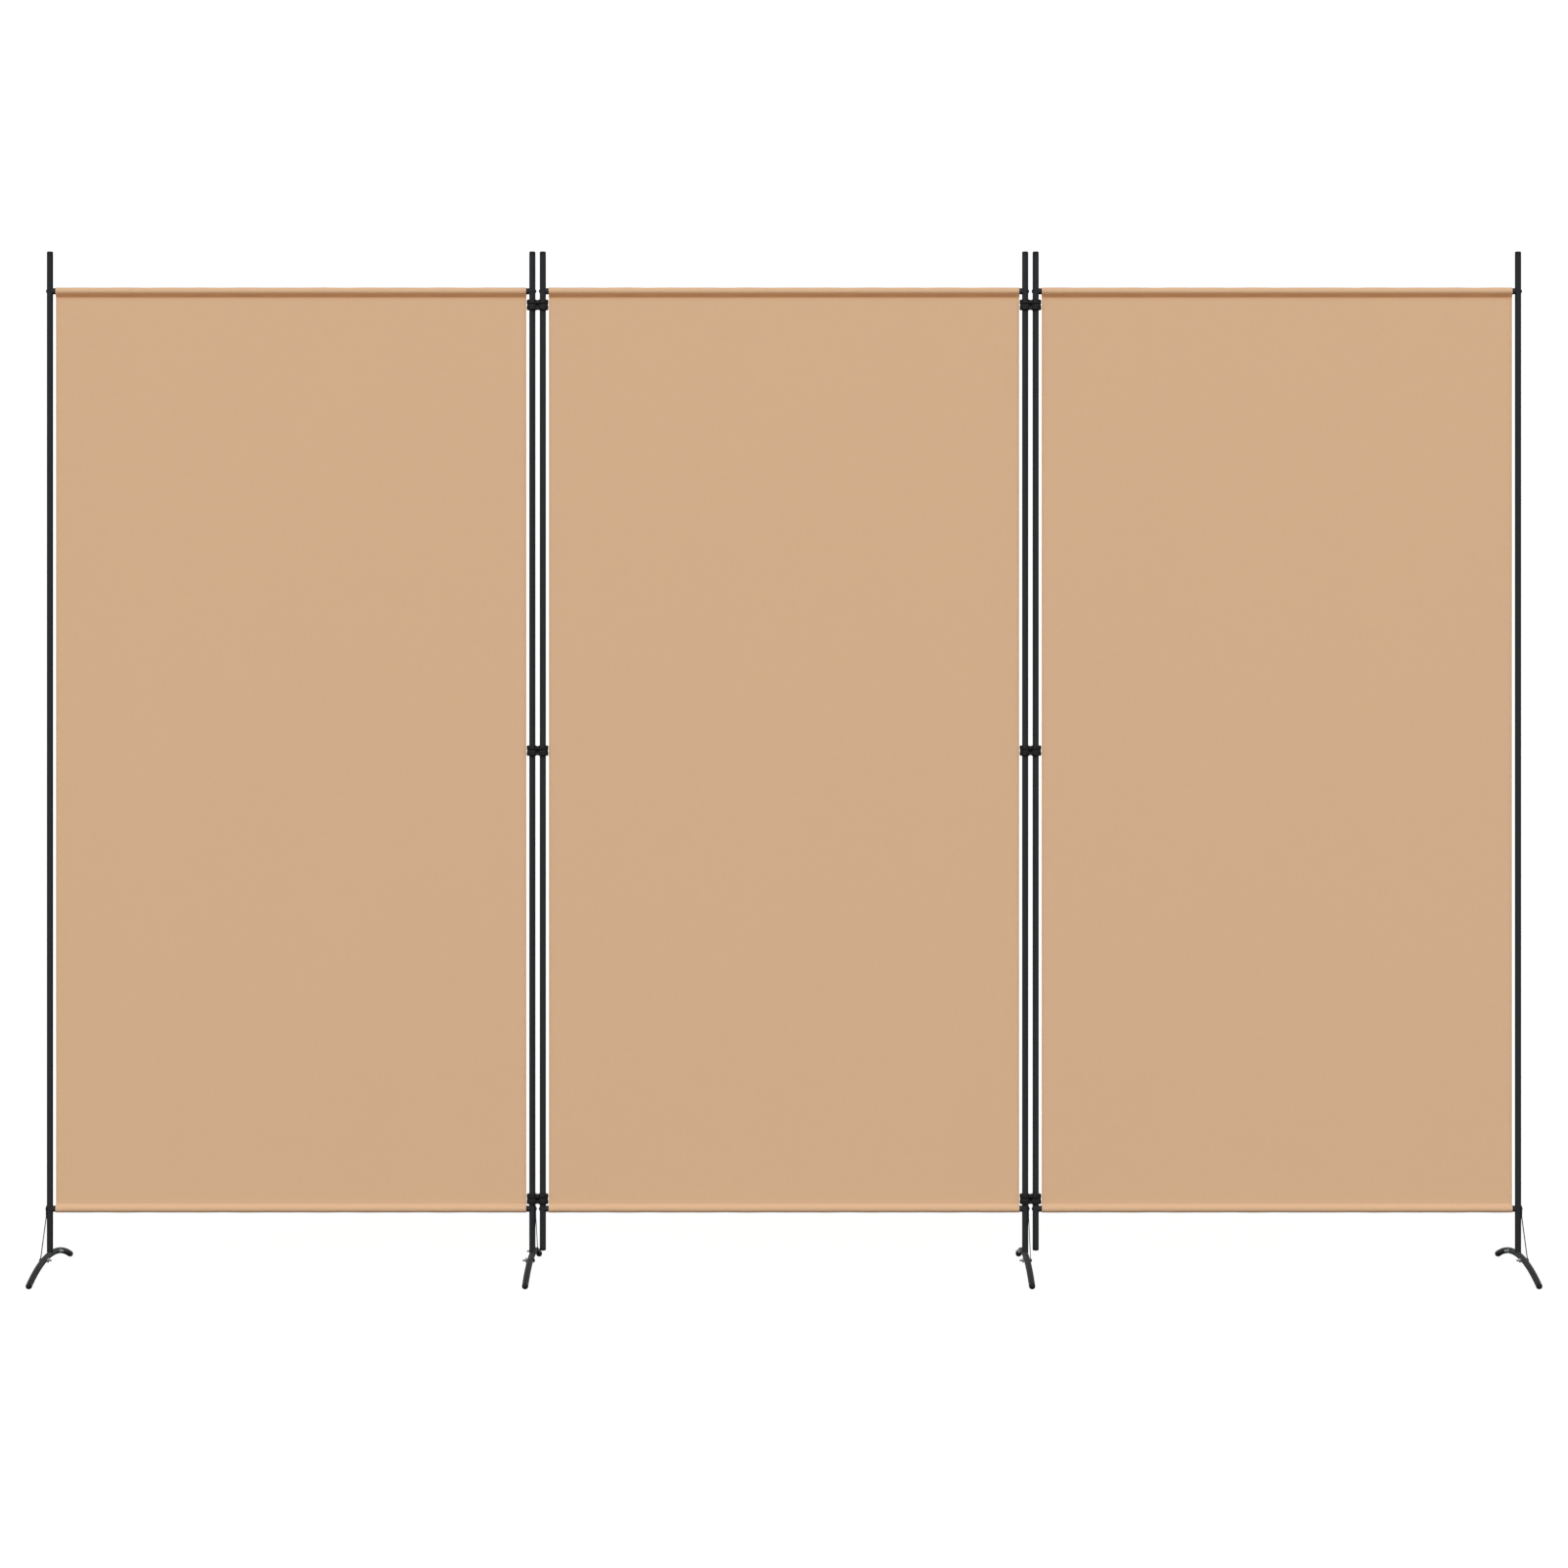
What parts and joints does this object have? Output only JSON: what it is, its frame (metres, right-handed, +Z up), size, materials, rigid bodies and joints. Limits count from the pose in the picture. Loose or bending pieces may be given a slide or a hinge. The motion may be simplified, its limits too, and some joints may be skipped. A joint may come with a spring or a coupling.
{
  "type": "folding room divider screen",
  "caption": "Freestanding folding room divider with tan fabric panels on thin black tube frames, joined by two-post hinge clips and standing on bowed feet.",
  "frame": {"origin": "on the floor, at the middle of the opened screen's bounding box", "axes": "+X to the right along the opened screen, +Y from its front to its back, +Z up"},
  "size_m": [2.605, 0.4, 1.8],
  "materials": {
    "cloth": "plain woven polyester, matt",
    "black_powder_coat": "satin powder coat",
    "black_plastic": "fine moulded grain",
    "zinc": "bright zinc plate",
    "black_screws": "black zinc plate, slightly glossy"
  },
  "bodies": {
    "center_panel": {"center_left_post": "black_powder_coat", "center_right_post": "black_powder_coat", "center_top_bar": "black_powder_coat", "center_bottom_bar": "black_powder_coat", "center_fabric": "cloth", "center_post_caps": "black_plastic", "center_post_plug": "black_plastic", "center_bar_plugs": "black_plastic", "center_bar_screws": "black_screws", "center_foot": "black_powder_coat", "center_foot_tips": "black_plastic", "center_foot_brace": "black_powder_coat", "center_brace_screws": "black_screws", "center_brace_nuts": "zinc"},
    "left_link": {"left_top_clip_front": "black_plastic", "left_top_clip_back": "black_plastic", "left_middle_clip_front": "black_plastic", "left_middle_clip_back": "black_plastic", "left_bottom_clip_front": "black_plastic", "left_bottom_clip_back": "black_plastic", "left_clip_screws": "black_screws"},
    "left_panel": {"left_outer_post": "black_powder_coat", "left_inner_post": "black_powder_coat", "left_top_bar": "black_powder_coat", "left_bottom_bar": "black_powder_coat", "left_fabric": "cloth", "left_post_caps": "black_plastic", "left_bar_plugs": "black_plastic", "left_bar_screws": "black_screws", "left_outer_foot": "black_powder_coat", "left_inner_foot": "black_powder_coat", "left_foot_tips": "black_plastic", "left_outer_brace": "black_powder_coat", "left_inner_brace": "black_powder_coat", "left_brace_screws": "black_screws", "left_brace_nuts": "zinc"},
    "right_link": {"right_top_clip_front": "black_plastic", "right_top_clip_back": "black_plastic", "right_middle_clip_front": "black_plastic", "right_middle_clip_back": "black_plastic", "right_bottom_clip_front": "black_plastic", "right_bottom_clip_back": "black_plastic", "right_clip_screws": "black_screws"},
    "right_panel": {"right_inner_post": "black_powder_coat", "right_outer_post": "black_powder_coat", "right_top_bar": "black_powder_coat", "right_bottom_bar": "black_powder_coat", "right_fabric": "cloth", "right_post_caps": "black_plastic", "right_post_plug": "black_plastic", "right_bar_plugs": "black_plastic", "right_bar_screws": "black_screws", "right_foot": "black_powder_coat", "right_foot_tips": "black_plastic", "right_foot_brace": "black_powder_coat", "right_brace_screws": "black_screws", "right_brace_nuts": "zinc"}
  },
  "joints": [
    {"name": "left_link_turn", "type": "hinge", "parent": "center_panel", "child": "left_link", "pos_m": [-0.42533, 0, 0], "axis": [0, 0, 1], "range_deg": [-45, 105]},
    {"name": "left_panel_turn", "type": "hinge", "parent": "left_link", "child": "left_panel", "pos_m": [-0.44383, 0, 0], "axis": [0, 0, 1], "range_deg": [-45, 45]},
    {"name": "right_link_turn", "type": "hinge", "parent": "center_panel", "child": "right_link", "pos_m": [0.42533, 0, 0], "axis": [0, 0, 1], "range_deg": [-45, 45]},
    {"name": "right_panel_turn", "type": "hinge", "parent": "right_link", "child": "right_panel", "pos_m": [0.44383, 0, 0], "axis": [0, 0, 1], "range_deg": [-45, 105]}
  ]
}
